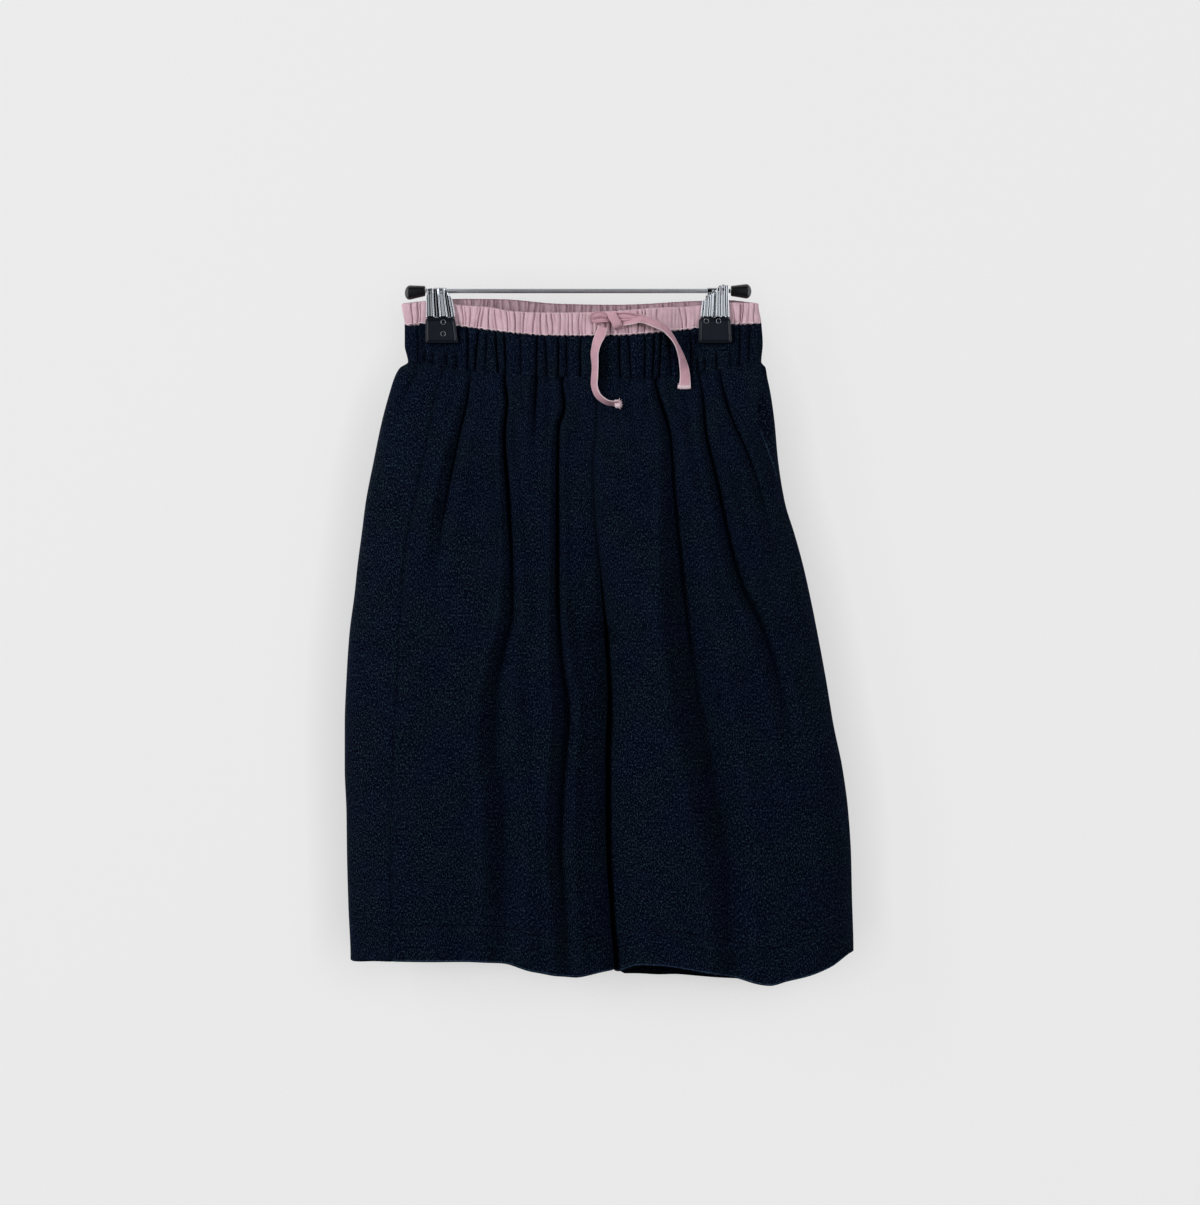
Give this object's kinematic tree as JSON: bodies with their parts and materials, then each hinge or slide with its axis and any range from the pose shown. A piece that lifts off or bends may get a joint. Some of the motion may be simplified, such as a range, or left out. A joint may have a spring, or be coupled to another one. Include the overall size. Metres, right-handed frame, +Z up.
{
  "type": "child's gathered shorts on a two-clip hanger",
  "caption": "Knee-length pull-on shorts with a gathered waist, a narrow casing with a tie, and a side-seam pocket, hanging from the two clips of a slim bar hanger.",
  "frame": {"origin": "Middle of the hanger bar's axis, where the hanger is held.", "axes": "+Z up, the garment's front faces -Y, +X is the wearer's left, which is the right of a front view."},
  "size_m": [0.3562, 0.0654, 0.4896],
  "materials": {
    "navy_twill": "brushed, heathered twill with a short nap",
    "pink_poplin": "matt plain-woven cotton",
    "pink_tape": "folded and stitched flat cotton tape",
    "chrome_steel": "polished chrome plate",
    "black_pad": "satin moulded soft vinyl",
    "black_knob": "gloss moulded"
  },
  "bodies": {
    "root": {"front_panel_right": "navy_twill", "front_panel_left": "navy_twill", "back_panel_right": "navy_twill", "back_panel_left": "navy_twill", "waistband_front": "navy_twill", "waistband_back": "navy_twill", "casing_front": "pink_poplin", "casing_back": "pink_poplin", "tie_knot": "pink_tape", "tie_end_right": "pink_tape", "tie_end_left": "pink_tape", "hanger_bar": "chrome_steel", "bar_knob_right": "black_knob", "bar_knob_left": "black_knob", "clip_right_sleeve": "chrome_steel", "clip_right_pivot": "chrome_steel", "clip_right_plate_front": "chrome_steel", "clip_right_pad_front": "black_pad", "clip_right_plate_back": "chrome_steel", "clip_right_pad_back": "black_pad", "clip_left_sleeve": "chrome_steel", "clip_left_pivot": "chrome_steel", "clip_left_plate_front": "chrome_steel", "clip_left_pad_front": "black_pad", "clip_left_plate_back": "chrome_steel", "clip_left_pad_back": "black_pad"}
  },
  "joints": []
}
